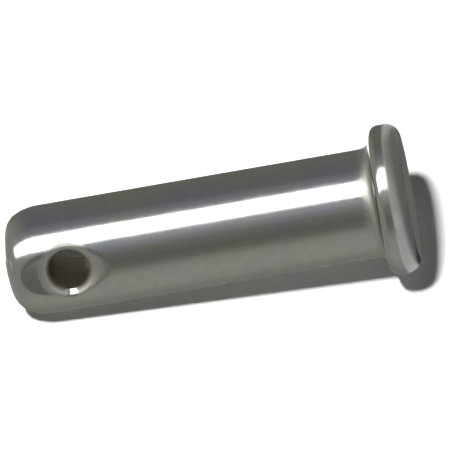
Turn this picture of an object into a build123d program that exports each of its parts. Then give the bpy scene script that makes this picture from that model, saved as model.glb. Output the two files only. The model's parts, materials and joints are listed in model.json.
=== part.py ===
"""Clevis pin for a 5/16 inch hole: one cold-headed steel piece.

The pin stands on its head. The origin is the centre of the head's outer face, +Z runs
up the shank to the tapered point, and the cotter hole's axis lies along Y.
All sizes are in millimetres.
"""

import os

from build123d import *

# Shank
shank_diameter = 7.9
under_head_length = 27.0  # bearing face of the head to the end of the point

# Head: a disc as thick as head_height that stands out head_overhang past the shank
head_overhang = 1.5
head_height = 2.25
rim_rounding_in = 0.95  # outer rim rounding, measured inwards over the outer face
rim_rounding_up = 1.25  # outer rim rounding, measured up the rim
bearing_rim_rounding = 0.75
root_fillet = 0.65

# Point: a short cone that leads the pin into its hole
point_length = 1.8
point_step = 0.775  # how much smaller the radius is at the end than at the shank
shoulder_blend = 4.0
end_rounding = 1.6

# Cotter hole, drilled square through the shank
hole_diameter = 2.9
hole_to_end = 4.55  # hole centre to the end of the point

# Flared mouths of the cotter hole
flare_depth = 0.6  # crest of the shank down to where flare and wall would meet
flare_reach = 1.65  # wall of the hole out to the end of the flaring cut
flare_clearance = 0.03  # how far clear of the crest the flaring cut ends
flare_radius = 5.0
lip_rounding = 0.6

# Worked out from the sizes above
shank_radius = shank_diameter / 2
head_radius = shank_radius + head_overhang
point_radius = shank_radius - point_step
overall_length = head_height + under_head_length
point_start = overall_length - point_length
hole_radius = hole_diameter / 2
hole_height = overall_length - hole_to_end

# The roundings never take more than the wall that carries them
outer_round_in = min(rim_rounding_in, 0.65 * head_overhang)
outer_round_up = min(rim_rounding_up, 0.6 * head_height)
bearing_round = min(bearing_rim_rounding, 0.5 * head_overhang, 0.35 * head_height)
root_round = min(root_fillet, 0.45 * head_overhang)


with BuildPart() as clevis_pin:
    # Headed blank: the half section of head, shank and point, turned about the axis
    with BuildSketch(Plane.XZ):
        with BuildLine():
            outer_face = Line((0, 0), (head_radius - outer_round_in, 0))
            outer_rim = EllipticalCenterArc(
                center=(head_radius - outer_round_in, outer_round_up),
                x_radius=outer_round_in,
                y_radius=outer_round_up,
                start_angle=270,
                arc_size=90,
            )
            side = FilletPolyline(
                outer_rim @ 1,
                (head_radius, head_height),
                (shank_radius, head_height),
                (shank_radius, point_start),
                (point_radius, overall_length),
                (0, overall_length),
                radius=[bearing_round, root_round, shoulder_blend, end_rounding],
            )
            Line(side @ 1, outer_face @ 0)
        make_face()
    revolve(axis=Axis.Z)

    # Cotter hole with its flared mouths: the half section of the cut, turned about the
    # hole's own axis. In this sketch X runs along the hole and Y out from its axis.
    hole_plane = Plane(origin=(0, 0, hole_height), x_dir=(0, 1, 0), z_dir=(1, 0, 0))
    with BuildSketch(hole_plane) as hole_section:
        with BuildLine():
            wall = Line((0, hole_radius), (shank_radius - flare_depth, hole_radius))
            flare = RadiusArc(
                wall @ 1,
                (shank_radius + flare_clearance, hole_radius + flare_reach),
                -flare_radius,
            )
            Polyline(
                flare @ 1,
                (head_radius, hole_radius + flare_reach),
                (head_radius, 0),
                (0, 0),
                wall @ 0,
            )
        make_face()
        fillet(hole_section.vertices().sort_by_distance(wall @ 1)[0], lip_rounding)
        mirror(about=Plane.YZ)
    revolve(axis=Axis(hole_plane.origin, hole_plane.x_dir), mode=Mode.SUBTRACT)

clevis_pin.part.label = "clevis_pin"

os.makedirs("parts", exist_ok=True)
export_step(clevis_pin.part, "parts/clevis_pin.step")
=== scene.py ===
"""Looks of the clevis pin: one zinc-plated, cold-headed steel pin that stands on its head.

Everything is in metres, in the frame of the CAD: the head's outer face lies on z = 0, +Z runs
up the shank to the point and the cotter hole's axis lies along Y. Azimuths are in degrees round
Z: 0 is the -Y side and 90 the +X side.
"""

import json
import math

import bmesh
import bpy
import numpy as np
from mathutils import Matrix, Vector


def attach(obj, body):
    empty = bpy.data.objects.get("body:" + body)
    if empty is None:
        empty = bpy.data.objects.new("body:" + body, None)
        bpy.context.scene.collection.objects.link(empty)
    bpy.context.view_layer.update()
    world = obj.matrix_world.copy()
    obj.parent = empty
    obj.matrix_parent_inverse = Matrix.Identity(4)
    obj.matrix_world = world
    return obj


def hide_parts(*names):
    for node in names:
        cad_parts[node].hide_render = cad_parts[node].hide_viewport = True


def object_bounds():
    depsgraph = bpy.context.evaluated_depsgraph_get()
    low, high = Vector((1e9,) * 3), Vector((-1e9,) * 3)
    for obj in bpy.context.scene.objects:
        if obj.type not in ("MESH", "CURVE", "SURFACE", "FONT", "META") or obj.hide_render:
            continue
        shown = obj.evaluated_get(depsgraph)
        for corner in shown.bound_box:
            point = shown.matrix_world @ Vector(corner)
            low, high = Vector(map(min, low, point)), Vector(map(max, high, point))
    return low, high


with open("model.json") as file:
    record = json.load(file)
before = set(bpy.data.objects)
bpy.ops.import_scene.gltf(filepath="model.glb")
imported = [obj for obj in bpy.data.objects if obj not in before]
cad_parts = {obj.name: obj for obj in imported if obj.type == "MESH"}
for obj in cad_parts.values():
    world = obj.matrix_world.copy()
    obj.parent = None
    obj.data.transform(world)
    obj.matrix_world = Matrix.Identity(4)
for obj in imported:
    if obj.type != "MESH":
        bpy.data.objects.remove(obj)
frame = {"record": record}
cad_low, cad_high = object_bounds()

MM = 0.001
mounts = {mount["name"]: mount for mount in frame["record"]["mounts"]}

# Sizes that the frame gives
head_radius = min(cad_high.x, cad_high.y)
overall_length = cad_high.z
shank_radius = mounts["shank"]["dims"]["r_mm"] * MM
head_height = mounts["bearing_face"]["pos_m"][2]
hole_radius = mounts["cotter_hole"]["dims"]["r_mm"] * MM
hole_height = mounts["cotter_hole"]["pos_m"][2]
hole_wall_end = mounts["cotter_hole"]["dims"]["length_mm"] / 2 * MM

# Roundings of the head and the point, as in the CAD
rim_rounding_in = 0.95 * MM
rim_rounding_up = 1.25 * MM
bearing_rim_rounding = 0.75 * MM
root_fillet = 0.65 * MM
point_length = 1.8 * MM
point_step = 0.775 * MM
shoulder_blend = 4.0 * MM
end_rounding = 1.6 * MM

# Flared mouths of the cotter hole, as in the CAD
flare_depth = 0.6 * MM
flare_reach = 1.65 * MM
flare_clearance = 0.03 * MM
flare_radius = 5.0 * MM
lip_rounding = 0.6 * MM

# Further form of the mouths
crease_rounding = 0.35 * MM  # of the mouth's edge at the hole's axis; it dies out at the patch's edge
tip_side_sink = 0.75  # share of the flare's rise that is lost on its side towards the point
tip_side_reach = 0.5 * MM  # how much further the flare runs on that side
flare_turn_away = 0.6 * MM  # twice the radius in which the flare leaves the shank past its edge

# Worn place of the lip of the -Y mouth, on its -X side: a flat between the bore and the flare
worn_slope = 36.5  # degrees that the flat falls towards the bore
worn_reach = 0.75 * MM  # across the flat, from the bore's wall
worn_rounding = 0.06 * MM  # of the flat's inner edge
worn_spread = 24.0  # degrees round the hole over which the wear dies out
# The bright place is kept clear of the bore's painted shade and of dullness, so that a highlight shows
# there.
bright_turn = 3.0  # degrees from the -X side towards the point to the middle of its bright place
bright_half = 15.0  # half width of that place, in degrees round the hole
bright_fade = 5.0  # degrees inside that width over which the brightness comes up

# Mesh density
columns_around = 192
patch_columns = 64  # of those, the ones that each hole mouth's patch spans
patch_rows = 64
patch_rings = 40
arc_rows = 14
straight_step = 0.25 * MM
patch_below = 3.4 * MM  # reach of a mouth's patch under the hole's axis
patch_above = 4.1 * MM
bore_rows = 24
dense_step = 0.01 * MM  # of the outline from which the shank's surface is read
same_height = 1e-7  # rows of points nearer than this in height are one row
merge_distance = 0.0005 * MM

# Where the plating is dull, and where shade is painted into the bore's colour
bore_fade = 0.25 * MM  # how far out of the bore its painted shade and dull surface fade
lip_fade = 0.3 * MM  # how far out of the lip its dull surface fades
root_fade_end = 1.6  # where the dull root of the head ends, in radii of its fillet; it fades over one
rim_dull_height = 1.2 * MM  # up to which the head's outer rounding is dull, as the die left it
rim_dull_fade = 0.4 * MM  # height under that over which it gets dull
rim_dullness = 0.7
edge_slack = 0.01 * MM  # past an edge, within which a point still counts as on it


# ---------------------------------------------------------------- form

def rounded_corner(before, corner, after, reach_before, reach_after, count):
    """Points of the arc that rounds a corner; it starts and ends at the given reaches from it."""
    to_before = (before - corner) / np.linalg.norm(before - corner)
    to_after = (after - corner) / np.linalg.norm(after - corner)
    start = corner + to_before * reach_before
    end = corner + to_after * reach_after
    weight = math.sqrt((1 - to_before @ to_after) / 2)  # of a conic: 1 is straight, circles by angle
    t = np.linspace(0, 1, count + 1)[:, None]
    weights = (1 - t) ** 2, 2 * weight * t * (1 - t), t ** 2
    return (weights[0] * start + weights[1] * corner + weights[2] * end) / sum(weights)


def circle_reach(before, corner, after, radius):
    """How far from a corner an arc of this radius touches its two sides."""
    to_before = (before - corner) / np.linalg.norm(before - corner)
    to_after = (after - corner) / np.linalg.norm(after - corner)
    inner_angle = math.acos(to_before @ to_after)
    return radius / math.tan(inner_angle / 2)


def pin_outline():
    """Half outline of the pin without its hole, as (radius, height) from the head's face to the end."""
    corners = np.array([
        (0, 0),
        (head_radius, 0),
        (head_radius, head_height),
        (shank_radius, head_height),
        (shank_radius, overall_length - point_length),
        (shank_radius - point_step, overall_length),
        (0, overall_length),
    ])
    radii = {2: bearing_rim_rounding, 3: root_fillet, 4: shoulder_blend, 5: end_rounding}
    outline = [corners[:1]]
    for i in range(1, len(corners) - 1):
        before, corner, after = corners[i - 1:i + 2]
        if i == 1:
            reaches = rim_rounding_in, rim_rounding_up
        else:
            reaches = [circle_reach(before, corner, after, radii[i])] * 2
        outline.append(rounded_corner(before, corner, after, *reaches, arc_rows))
    outline.append(corners[-1:])
    return np.concatenate(outline)


def subdivided(outline, step):
    """The outline with its long runs divided into equal steps, none longer than the given one."""
    rows = [outline[:1]]
    for start, end in zip(outline[:-1], outline[1:]):
        count = max(1, math.ceil(np.linalg.norm(end - start) / step - 1e-6))
        share = np.arange(1, count + 1)[:, None] / count
        rows.append(start + (end - start) * share)
    return np.concatenate(rows)


def turned(outline, turns):
    """A grid of points: each (radius, height) of the outline at each turn, measured from +Y towards +X."""
    radius = outline[:, :1]
    x = radius * np.sin(turns)
    y = radius * np.cos(turns)
    z = np.broadcast_to(outline[:, 1:], x.shape)
    return np.stack([x, y, z], axis=-1)


def soft_minimum(a, b, width):
    """The smaller of two heights, with the crease between them rounded over the given width."""
    width = np.maximum(width, 1e-9)
    overlap = np.maximum(width - np.abs(a - b), 0) / width
    return np.minimum(a, b) - overlap ** 2 * width / 4


class HoleMouth:
    """Surface round one mouth of the cotter hole, seen along its axis: height y over (x, z)."""

    def __init__(self, outline):
        self.outline = outline[outline[:, 1] > head_height + root_fillet]
        start = np.array([shank_radius - flare_depth, hole_radius])
        end = np.array([shank_radius + flare_clearance, hole_radius + flare_reach])
        chord = end - start
        across = np.array([-chord[1], chord[0]]) / np.linalg.norm(chord)
        sagitta = math.sqrt(flare_radius ** 2 - (chord @ chord) / 4)
        self.flare_y, self.flare_r = (start + end) / 2 + across * sagitta
        self.lip_r = hole_radius + lip_rounding
        self.lip_y = self.flare_y + math.sqrt(
            (flare_radius - lip_rounding) ** 2 - (self.flare_r - self.lip_r) ** 2)
        self.tangent_angle = math.atan2(self.lip_y - self.flare_y, self.flare_r - self.lip_r)
        self.lip_end_y = self.lip_y + lip_rounding * math.sin(self.tangent_angle)
        self.crest_reach = self.flare_r - math.sqrt(
            flare_radius ** 2 - (shank_radius - self.flare_y) ** 2)

    def lip(self, count):
        """(distance from the axis, y) down the rounded lip, from the bore's wall to the flare."""
        angle = np.linspace(0, self.tangent_angle, count)
        return np.stack([self.lip_r - lip_rounding * np.cos(angle),
                         self.lip_y + lip_rounding * np.sin(angle)], axis=-1)

    def worn_lip(self, count):
        """The same for the lip where it is worn to a flat, with as many points."""
        end_r = hole_radius + worn_reach
        wall = np.array([hole_radius, self.lip_y])
        inner = wall + [0, worn_rounding]
        outer = inner + [worn_reach, worn_reach * math.tan(math.radians(worn_slope))]
        end = np.array([end_r, float(self.flare(end_r, hole_height))])
        arc_count = count // 2
        arc = rounded_corner(wall, inner, outer, worn_rounding, worn_rounding, arc_count - 1)
        share = np.linspace(0, 1, count - arc_count + 1)[1:, None]
        flat = arc[-1] + (outer - arc[-1]) * share
        flat[-1] = end
        return np.concatenate([arc, flat])

    def flare(self, x, z):
        """y of the flare. It is sunk towards the point, and past its edge it turns away."""
        distance = np.maximum(np.hypot(x, z - hole_height), self.lip_r - lip_rounding)
        towards_point = np.clip((z - hole_height) / distance, 0, 1) ** 2
        inside = np.maximum(flare_radius ** 2 - (self.flare_r - distance) ** 2, 0)
        rise = self.flare_y + np.sqrt(inside) - self.lip_end_y
        past = np.maximum(distance - self.crest_reach - tip_side_reach * towards_point, 0)
        sunk_rise = rise * (1 - tip_side_sink * towards_point)
        return self.lip_end_y + sunk_rise + past ** 2 / flare_turn_away

    def shank(self, x, z):
        """y of the shank's or the point's own surface."""
        radius = np.interp(z, self.outline[:, 1], self.outline[:, 0])
        return np.sqrt(np.maximum(radius ** 2 - x ** 2, 0))

    def cut(self, x, z, y):
        """y where the mouth's surface y and the shank's meet in a softened crease."""
        distance = np.hypot(x, z - hole_height)
        softness = crease_rounding * (1 - distance / patch_above)
        return soft_minimum(y, self.shank(x, z), softness)


def patch_border(outline, turns):
    """The closed border of a mouth's patch, as a loop of (x, z), from its lower left corner."""
    low = turned(outline[:1], turns)[0]
    high = turned(outline[-1:], turns)[0]
    left, right = turned(outline, turns[[0, -1]]).transpose(1, 0, 2)
    loop = np.concatenate([low[:-1], right[:-1], high[:0:-1], left[:0:-1]])
    return loop[:, [0, 2]]


def mouth_grid(mouth, border, wear):
    """Points of one mouth's patch on the +Y side, ring by ring from the bore's wall to the border.

    Wear is the share of the worn flat that its lip has on the +X side.
    """
    away = border - [0, hole_height]
    direction = away / np.linalg.norm(away, axis=1)[:, None]
    turn = np.degrees(np.arctan2(direction[:, 1], direction[:, 0]))
    worn = wear * np.exp(-(turn / worn_spread) ** 2)[:, None]
    rings = []
    for plain_point, worn_point in zip(mouth.lip(arc_rows), mouth.worn_lip(arc_rows)):
        distance, y = (plain_point + (worn_point - plain_point) * worn).T
        x, z = (direction * distance[:, None] + [0, hole_height]).T
        rings.append(np.stack([x, mouth.cut(x, z, y), z], axis=-1))
    first = rings[-1][:, [0, 2]]
    for share in np.arange(1, patch_rings + 1) / patch_rings:
        x, z = (first + (border - first) * share).T
        rings.append(np.stack([x, mouth.cut(x, z, mouth.flare(x, z)), z], axis=-1))
    return np.stack(rings)


def bore_grid(mouth, border):
    """Points of the straight wall of the hole, from the -Y mouth to the +Y one."""
    away = border - [0, hole_height]
    x, z = (away / np.linalg.norm(away, axis=1)[:, None] * hole_radius + [0, hole_height]).T
    y = np.linspace(-mouth.lip_y, mouth.lip_y, bore_rows + 1)
    return np.stack([np.stack([x, np.full_like(x, step), z], axis=-1) for step in y])


def closed(grid):
    """The grid with its first column repeated at the end, so that it joins up."""
    return np.concatenate([grid, grid[:, :1]], axis=1)


def pin_grids():
    """The grids of points that make up the whole surface of the pin."""
    outline = pin_outline()
    fine = subdivided(outline, straight_step)
    band_low = hole_height - patch_below
    band_high = hole_height + patch_above
    band_z = np.linspace(band_low, band_high, patch_rows + 1)
    shaft = outline[outline[:, 1] > head_height + root_fillet]
    dense = subdivided(shaft, dense_step)
    band = np.stack([np.interp(band_z, dense[:, 1], dense[:, 0]), band_z], axis=-1)
    below = np.concatenate([fine[fine[:, 1] < band_low - same_height], band[:1]])
    above = np.concatenate([band[-1:], fine[fine[:, 1] > band_high + same_height]])

    turns = np.linspace(-math.pi, math.pi, columns_around + 1)
    middle = columns_around // 2
    half = patch_columns // 2
    front = turns[middle - half:middle + half + 1]
    side = turns[middle + half:columns_around - half + 1]

    mouth = HoleMouth(dense)
    border = patch_border(band, front)
    plain_patch = closed(mouth_grid(mouth, border, 0.0))
    worn_patch = closed(mouth_grid(mouth, border, 1.0))
    other_way = np.array([-1, -1, 1])
    return [
        turned(below, turns),
        turned(band, side),
        turned(band, side) * other_way,
        turned(above, turns),
        plain_patch,
        worn_patch * other_way,
        closed(bore_grid(mouth, border)),
    ]


def mesh_from_grids(name, grids):
    """One mesh of quads from grids of points, joined where the grids meet."""
    points, faces = [], []
    first = 0
    for grid in grids:
        rows, columns = grid.shape[:2]
        index = first + np.arange(rows * columns).reshape(rows, columns)
        quads = np.stack([index[:-1, :-1], index[:-1, 1:], index[1:, 1:], index[1:, :-1]], axis=-1)
        points.append(grid.reshape(-1, 3))
        faces.append(quads.reshape(-1, 4))
        first += rows * columns
    mesh = bpy.data.meshes.new(name)
    mesh.from_pydata(np.concatenate(points).tolist(), [], np.concatenate(faces).tolist())
    shape = bmesh.new()
    shape.from_mesh(mesh)
    bmesh.ops.remove_doubles(shape, verts=shape.verts, dist=merge_distance)
    bmesh.ops.recalc_face_normals(shape, faces=shape.faces)
    shape.to_mesh(mesh)
    shape.free()
    mesh.shade_smooth()
    return mesh


# ---------------------------------------------------------------- materials

plain_zinc = (0.28, 0.28, 0.265)
cool_zinc = (0.265, 0.275, 0.29)
warm_zinc = (0.295, 0.285, 0.25)
dull_zinc = (0.20, 0.20, 0.18)
# painted shade: the bore's colour is a dark brown that stands in for the shade inside the hole
bore_painted_shade = (0.16, 0.14, 0.10)

# Textures: how many of their features fit in a millimetre, and how deep they are
mottle_scale = 0.28
bloom_scale = 1.6
pit_scale = 9.0
drawn_scale = (5.0, 5.0, 0.1)  # long along the shank
mottle_depth = 0.022 * MM
drawn_depth = 0.0012 * MM
pit_depth = 0.0006 * MM

# Roughness of the plating, and what is added to it
plated_roughness = (0.10, 0.17)
drawn_roughness = 0.03
recess_roughness = 0.34
bore_roughness = 0.35


def add_node(tree, kind, inputs=None, **settings):
    """A new node with its settings, and its inputs set to values or joined to other nodes' outputs."""
    made = tree.nodes.new(kind)
    for name, value in settings.items():
        setattr(made, name, value)
    for key, value in (inputs or {}).items():
        if isinstance(value, bpy.types.NodeSocket):
            tree.links.new(value, made.inputs[key])
        else:
            made.inputs[key].default_value = value
    return made


def ramp(tree, factor, stops):
    """A colour ramp through (position, colour) stops; gives its colour output."""
    made = add_node(tree, "ShaderNodeValToRGB", {"Fac": factor})
    elements = made.color_ramp.elements
    elements.remove(elements[1])
    for i, (position, colour) in enumerate(stops):
        element = elements[0] if i == 0 else elements.new(position)
        element.position = position
        element.color = (*colour, 1)
    return made.outputs["Color"]


def new_material(name):
    """An empty node material; gives it and its node tree."""
    material = bpy.data.materials.new(name)
    material.use_nodes = True
    material.node_tree.nodes.clear()
    return material, material.node_tree


def noise(tree, vector, scale, detail=2.0):
    """A noise texture's value, round 0.5."""
    return add_node(tree, "ShaderNodeTexNoise", {
        "Vector": vector, "Scale": scale, "Detail": detail}).outputs["Fac"]


def scaled(tree, value, from_low, from_high, to_low, to_high):
    """A value moved from one range to another, and held inside it."""
    return add_node(tree, "ShaderNodeMapRange", {
        "Value": value, "From Min": from_low, "From Max": from_high,
        "To Min": to_low, "To Max": to_high}).outputs[0]


def joined(tree, a, b, operation):
    """Two values joined by a Math node."""
    return add_node(tree, "ShaderNodeMath", {0: a, 1: b}, operation=operation).outputs[0]


def mix_colour(tree, factor, a, b):
    """Colour a blended towards b, a plain colour."""
    return add_node(tree, "ShaderNodeMix", {
        "Factor": factor, "A": a, "B": (*b, 1)}, data_type="RGBA").outputs["Result"]


def bump(tree, height, depth, normal=None):
    """A normal bent by a height of the given depth, on top of another normal."""
    inputs = {"Strength": 1.0, "Distance": depth, "Height": height}
    if normal:
        inputs["Normal"] = normal
    return add_node(tree, "ShaderNodeBump", inputs).outputs[0]


def zinc_plated_steel():
    """Bright zinc over cold-drawn steel: wavy, faintly drawn along the shank, dull in the recesses, with
    shade painted into the bore's colour.
    """
    material, tree = new_material("zinc_plated_steel")
    place = add_node(tree, "ShaderNodeTexCoord").outputs["Object"]
    in_mm = add_node(tree, "ShaderNodeVectorMath", {0: place, "Scale": 1 / MM}, operation="SCALE").outputs[0]
    along = add_node(tree, "ShaderNodeVectorMath", {0: in_mm, 1: drawn_scale}, operation="MULTIPLY")
    # the bore mark carries the shade painted into the bore's colour, as well as its dullness
    bore = add_node(tree, "ShaderNodeAttribute", attribute_name="bore").outputs["Fac"]
    recess = add_node(tree, "ShaderNodeAttribute", attribute_name="recess").outputs["Fac"]

    mottle = noise(tree, in_mm, mottle_scale, detail=3.0)
    bloom = noise(tree, in_mm, bloom_scale, detail=4.0)
    drawn = noise(tree, along.outputs[0], 1.0)
    pits = noise(tree, in_mm, pit_scale)

    plated = ramp(tree, mottle, [(0.3, cool_zinc), (0.5, plain_zinc), (0.7, warm_zinc)])
    smoke = ramp(tree, bloom, [(0.35, (0, 0, 0)), (0.7, (0.22,) * 3)])
    smoked = mix_colour(tree, smoke, plated, dull_zinc)
    # painted shade: the bore is coloured darker, as if it lay in shade
    colour = mix_colour(tree, bore, smoked, bore_painted_shade)

    rough = scaled(tree, bloom, 0.3, 0.7, *plated_roughness)
    rough = joined(tree, rough, scaled(tree, drawn, 0.3, 0.7, 0.0, drawn_roughness), "ADD")
    rough = joined(tree, rough, scaled(tree, recess, 0, 1, 0.0, recess_roughness), "ADD")
    rough = joined(tree, rough, scaled(tree, bore, 0, 1, 0.0, bore_roughness), "ADD")

    waves = bump(tree, mottle, mottle_depth)
    lines = bump(tree, drawn, drawn_depth, waves)
    grain = bump(tree, pits, pit_depth, lines)
    surface = add_node(tree, "ShaderNodeBsdfPrincipled", {
        "Base Color": colour,
        "Metallic": 1.0,
        "Roughness": rough,
        "Normal": grain,
    })
    add_node(tree, "ShaderNodeOutputMaterial", {"Surface": surface.outputs["BSDF"]})
    return material


# ---------------------------------------------------------------- the piece

def mark(mesh, name, values):
    """Stores a value from 0 to 1 at every point of the mesh, for the material to read."""
    attribute = mesh.attributes.new(name, "FLOAT", "POINT")
    attribute.data.foreach_set("value", np.clip(values, 0, 1).astype(np.float32))


def mark_recesses(mesh):
    """Marks where the plating is dull and where shade is painted: the bore, which gets painted shade as well
    as dullness, the lips, and the root and outer rounding of the head.
    """
    points = np.empty(len(mesh.vertices) * 3, np.float32)
    mesh.vertices.foreach_get("co", points)
    x, y, z = points.reshape(-1, 3).T
    from_hole_axis = np.hypot(x, z - hole_height)
    turn = np.degrees(np.arctan2(z - hole_height, -x)) - bright_turn
    outside = np.abs(y) > hole_wall_end + edge_slack
    bright = np.where(outside & (y < 0), np.clip((bright_half - np.abs(turn)) / bright_fade, 0, 1), 0)
    near_bore = np.clip((hole_radius + bore_fade - from_hole_axis) / bore_fade, 0, 1)
    # the bore's mark paints shade into its colour; the bright place gets neither that painted shade nor
    # dullness
    mark(mesh, "bore", near_bore * (1 - bright))
    near_lip = np.clip(1 - (from_hole_axis - hole_radius - lip_rounding) / lip_fade, 0, 1)
    under_head = np.hypot(x, y) - shank_radius
    from_root = np.hypot(np.maximum(under_head, 0), z - head_height)
    near_root = np.where(z > head_height - edge_slack, root_fade_end - from_root / root_fillet, 0)
    outer_rim = np.clip((rim_dull_height - z) / rim_dull_fade, 0, 1) * rim_dullness
    dull_lip = near_lip * outside * (1 - bright)
    mark(mesh, "recess", np.maximum(np.maximum(near_root, outer_rim), dull_lip))


def make_pin():
    """The whole pin, in place of its CAD solid."""
    mesh = mesh_from_grids("clevis_pin_body", pin_grids())
    mark_recesses(mesh)
    mesh.materials.append(zinc_plated_steel())
    pin = bpy.data.objects.new("clevis_pin_body", mesh)
    bpy.context.scene.collection.objects.link(pin)
    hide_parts("clevis_pin")
    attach(pin, "root")
    return pin


# ---------------------------------------------------------------- stage and light

camera_azimuth = 19.5
camera_elevation = -5.8

paper_white = 0.98
floor_reach = 0.035
sheet_reach = 0.06
floor_fade = 0.7  # share of their reach at which the floor and the sheet start to fade out
sheet_azimuth = camera_azimuth + 40.0  # the way the sheet behind the pin faces
ambient_light = 0.06
room_radius = 1.0
room_top = 86.0  # elevation up to which the room is closed
room_segments = 96
high_shade = 0.64  # brightness of the room high up
high_from = 22.0  # elevations between which the room's sides pass into that brightness
high_to = 48.0
ring_segments = 96

# Softboxes that only the metal mirrors
strip_azimuth = camera_azimuth + 33.2
strip_distance = 0.45
strip_width = 0.58 * strip_distance
strip_low = -0.25 * strip_distance
strip_high = 1.54 * strip_distance
strip_radiance = 4.6
back_strip_azimuth = 190.0
back_strip_distance = 0.45
back_strip_width = 0.12
back_strip_top = 0.5
back_strip_radiance = 2.5

# Lamps that light the set and don't show in the metal
key_azimuth = camera_azimuth + 27.5
key_elevation = 7.5
key_distance = 0.6
key_size = 0.06
key_irradiance = 3.2
top_distance = 0.25  # behind the sheet
top_height = 0.5
top_size = 0.3
top_radiance = 9.0

# The dim room that the metal mirrors: degrees round from the camera's side, brightness and tint
neutral = (1.0, 1.0, 0.97)
cool = (0.94, 0.97, 1.09)
olive = (1.0, 1.01, 0.93)
room_shades = [
    (-180, 0.22, olive), (-152, 0.32, olive), (-130, 0.52, olive), (-113, 0.70, olive), (-96, 0.77, olive),
    (-73, 0.75, olive), (-62, 0.70, olive), (-54, 0.58, olive), (-45, 0.39, olive),
    (-33, 0.33, olive), (-19, 0.38, neutral), (-10, 0.46, neutral), (-2, 0.62, cool),
    (6, 0.80, cool), (15, 0.90, cool), (52, 0.62, cool), (60, 0.55, cool), (68, 0.48, cool),
    (78, 0.36, cool), (100, 0.36, neutral), (125, 0.35, olive), (152, 0.24, olive), (180, 0.22, olive),
]


def towards(azimuth, elevation=0.0):
    """Unit vector that points to an azimuth and elevation, in degrees."""
    a, e = math.radians(azimuth), math.radians(elevation)
    return Vector((math.sin(a) * math.cos(e), -math.cos(a) * math.cos(e), math.sin(e)))


def fading_white(name, fade_from, fade_to):
    """Matt white that shows only on its front, and fades out round the object's own origin."""
    material, tree = new_material(name)
    matt = add_node(tree, "ShaderNodeBsdfDiffuse", {"Color": (paper_white,) * 3 + (1,)})
    clear = add_node(tree, "ShaderNodeBsdfTransparent")
    behind = add_node(tree, "ShaderNodeNewGeometry").outputs["Backfacing"]
    place = add_node(tree, "ShaderNodeTexCoord").outputs["Object"]
    away = add_node(tree, "ShaderNodeVectorMath", {0: place}, operation="LENGTH").outputs["Value"]
    faded = scaled(tree, away, fade_from, fade_to, 0.0, 1.0)
    shown = add_node(tree, "ShaderNodeMixShader", {
        0: joined(tree, behind, faded, "MAXIMUM"),
        1: matt.outputs[0],
        2: clear.outputs[0],
    })
    add_node(tree, "ShaderNodeOutputMaterial", {"Surface": shown.outputs[0]})
    return material


def stage_ring(name, inner, outer, material, place=None):
    """A flat ring of the set round its own origin, facing its own +Z."""
    turns = np.linspace(0, math.tau, ring_segments + 1)
    radii = np.array([inner, outer])[:, None]
    x = radii * np.cos(turns)
    y = radii * np.sin(turns)
    grid = np.stack([x, y, np.zeros_like(x)], axis=-1)
    mesh = mesh_from_grids(name, [grid])
    if mesh.polygons[0].normal.z < 0:
        mesh.flip_normals()
    mesh.materials.append(material)
    ring = bpy.data.objects.new(name, mesh)
    ring.matrix_world = place or Matrix.Identity(4)
    ring.visible_shadow = False
    ring.visible_diffuse = False
    bpy.context.scene.collection.objects.link(ring)
    return ring


def make_floor():
    """White floor round the pin, open under the flat of the head, where the photograph's view passes."""
    white = fading_white("floor_white", floor_fade * floor_reach, floor_reach)
    stage_ring("floor", head_radius - rim_rounding_in, floor_reach, white)


def make_sheet():
    """The white sheet that the pin leans against: the table top of the photograph, behind the pin."""
    facing = towards(sheet_azimuth)
    tip_radius = shank_radius - point_step
    lean = math.atan2(head_radius - tip_radius, overall_length - rim_rounding_up)
    normal = facing * math.cos(lean) - Vector((0, 0, 1)) * math.sin(lean)
    rim = -facing * head_radius + Vector((0, 0, rim_rounding_up))
    turn = normal.to_track_quat("Z", "Y").to_matrix().to_4x4()
    white = fading_white("sheet_white", floor_fade * sheet_reach, sheet_reach)
    sheet = stage_ring("sheet", 0.0, sheet_reach, white, Matrix.Translation(rim) @ turn)
    sheet.visible_glossy = False


def room_shade(tree, direction):
    """Colour of the dim room in a direction: by azimuth all round, and one shade high up."""
    axes = add_node(tree, "ShaderNodeSeparateXYZ", {0: direction})
    minus_y = joined(tree, axes.outputs["Y"], -1.0, "MULTIPLY")
    angle = joined(tree, axes.outputs["X"], minus_y, "ARCTAN2")
    turn = joined(tree, angle, math.radians(camera_azimuth), "SUBTRACT")
    part = joined(tree, joined(tree, turn, math.tau, "DIVIDE"), 1.5, "ADD")
    part = add_node(tree, "ShaderNodeMath", {0: part}, operation="FRACT").outputs[0]
    stops = [(0.5 + offset / 360, [grey * share for share in tint]) for offset, grey, tint in room_shades]
    ring = ramp(tree, part, stops)
    high_z = [math.sin(math.radians(elevation)) for elevation in (high_from, high_to)]
    high = scaled(tree, axes.outputs["Z"], *high_z, 0, 1)
    return mix_colour(tree, high, ring, [high_shade * share for share in olive])


def make_room():
    """The dim room that the metal mirrors: a dome far round the pin, open at the very top."""
    shape = bmesh.new()
    bmesh.ops.create_uvsphere(
        shape, u_segments=room_segments, v_segments=room_segments // 2, radius=room_radius)
    opening = [v for v in shape.verts if v.co.z > room_radius * math.sin(math.radians(room_top))]
    bmesh.ops.delete(shape, geom=opening, context="VERTS")
    mesh = bpy.data.meshes.new("room")
    shape.to_mesh(mesh)
    shape.free()
    material, tree = new_material("room_wall")
    place = add_node(tree, "ShaderNodeTexCoord").outputs["Object"]
    direction = add_node(tree, "ShaderNodeVectorMath", {0: place}, operation="NORMALIZE").outputs[0]
    glow = add_node(tree, "ShaderNodeEmission", {"Color": room_shade(tree, direction), "Strength": 1.0})
    add_node(tree, "ShaderNodeOutputMaterial", {"Surface": glow.outputs[0]})
    mesh.materials.append(material)
    room = bpy.data.objects.new("room", mesh)
    room.visible_camera = False
    room.visible_diffuse = False
    room.visible_shadow = False
    bpy.context.scene.collection.objects.link(room)


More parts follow.
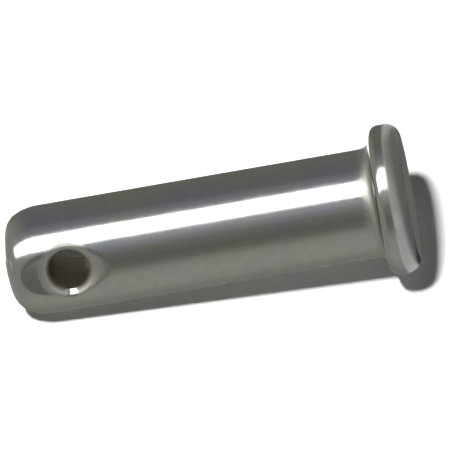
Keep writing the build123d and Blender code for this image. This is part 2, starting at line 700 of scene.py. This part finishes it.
def make_world():
    """White where it is seen, directly or in the metal; a low, even light for everything else."""
    world = bpy.data.worlds.new("studio")
    world.use_nodes = True
    tree = world.node_tree
    tree.nodes.clear()
    path = add_node(tree, "ShaderNodeLightPath")
    seen = add_node(tree, "ShaderNodeMath", {
        0: path.outputs["Is Camera Ray"], 1: path.outputs["Is Glossy Ray"]}, operation="MAXIMUM")
    seen = add_node(tree, "ShaderNodeMath", {
        0: seen.outputs[0], 1: path.outputs["Is Transmission Ray"]}, operation="MAXIMUM")
    strength = add_node(tree, "ShaderNodeMapRange", {
        "Value": seen.outputs[0], "To Min": ambient_light, "To Max": 1.0})
    light = add_node(tree, "ShaderNodeBackground", {
        "Color": (1, 1, 1, 1), "Strength": strength.outputs[0]})
    add_node(tree, "ShaderNodeOutputWorld", {"Surface": light.outputs[0]})
    bpy.context.scene.world = world


def lamp(name, place, aim, width, height, radiance):
    """A softbox at a place, turned to face aim, as bright as a surface of the given radiance."""
    data = bpy.data.lights.new(name, "AREA")
    data.shape = "RECTANGLE"
    data.size = width
    data.size_y = height
    data.energy = radiance * 4 * width * height
    made = bpy.data.objects.new(name, data)
    made.location = place
    made.rotation_mode = "QUATERNION"
    made.rotation_quaternion = (place - aim).to_track_quat("Z", "Y")
    made.visible_camera = False
    bpy.context.scene.collection.objects.link(made)
    return made


def panel(name, azimuth, distance, width, low, high, radiance):
    """An upright softbox that faces the pin, from one height to another."""
    foot = towards(azimuth) * distance
    middle = Vector((0, 0, (low + high) / 2))
    return lamp(name, foot + middle, middle, width, high - low, radiance)


def make_lamps():
    """The strip and its fellow behind, for the metal, and the key and top lamps, for the set."""
    strip = panel("strip", strip_azimuth, strip_distance, strip_width, strip_low, strip_high,
                  strip_radiance)
    strip.visible_diffuse = False
    back_strip = panel("back_strip", back_strip_azimuth, back_strip_distance, back_strip_width, 0.0,
                       back_strip_top, back_strip_radiance)
    back_strip.visible_diffuse = False
    middle = Vector((0, 0, overall_length / 2))
    key_place = middle + towards(key_azimuth, key_elevation) * key_distance
    key_radiance = key_irradiance * (key_distance / key_size) ** 2
    key = lamp("key", key_place, middle, key_size, key_size, key_radiance)
    key.visible_glossy = False
    top_place = towards(sheet_azimuth + 180) * top_distance + Vector((0, 0, top_height))
    top = lamp("top", top_place, Vector((0, 0, 0)), top_size, top_size, top_radiance)
    top.visible_glossy = False


# ---------------------------------------------------------------- camera

camera_lens = 300.0
camera_sensor = 36.0
axis_rise = 9.75  # how far the pin's axis rises to the right in the picture
picture_width = 32.3 * MM
aim_height = 13.47 * MM
aim_lift = 0.19 * MM


def make_camera():
    """The photograph's view: the pin lies across the picture, its head to the right."""
    back = towards(camera_azimuth, camera_elevation)
    up_along_axis = Vector((0, 0, 1))
    left = (up_along_axis - back * up_along_axis.dot(back)).normalized()
    right = -left
    up = back.cross(right)
    roll = Matrix.Rotation(math.radians(-axis_rise), 3, back)
    right, up = roll @ right, roll @ up
    data = bpy.data.cameras.new("camera")
    data.lens = camera_lens
    data.sensor_width = camera_sensor
    distance = picture_width / 2 * camera_lens / (camera_sensor / 2)
    camera = bpy.data.objects.new("camera", data)
    aim = Vector((0, 0, aim_height)) + up * aim_lift
    turn = Matrix((right, up, back)).transposed()
    camera.matrix_world = Matrix.Translation(aim + back * distance) @ turn.to_4x4()
    data.clip_start = 0.01
    data.clip_end = 5.0
    bpy.context.scene.collection.objects.link(camera)
    bpy.context.scene.camera = camera


make_camera()
make_pin()
make_floor()
make_sheet()
make_room()
make_world()
make_lamps()
bpy.context.scene.view_settings.view_transform = "Standard"
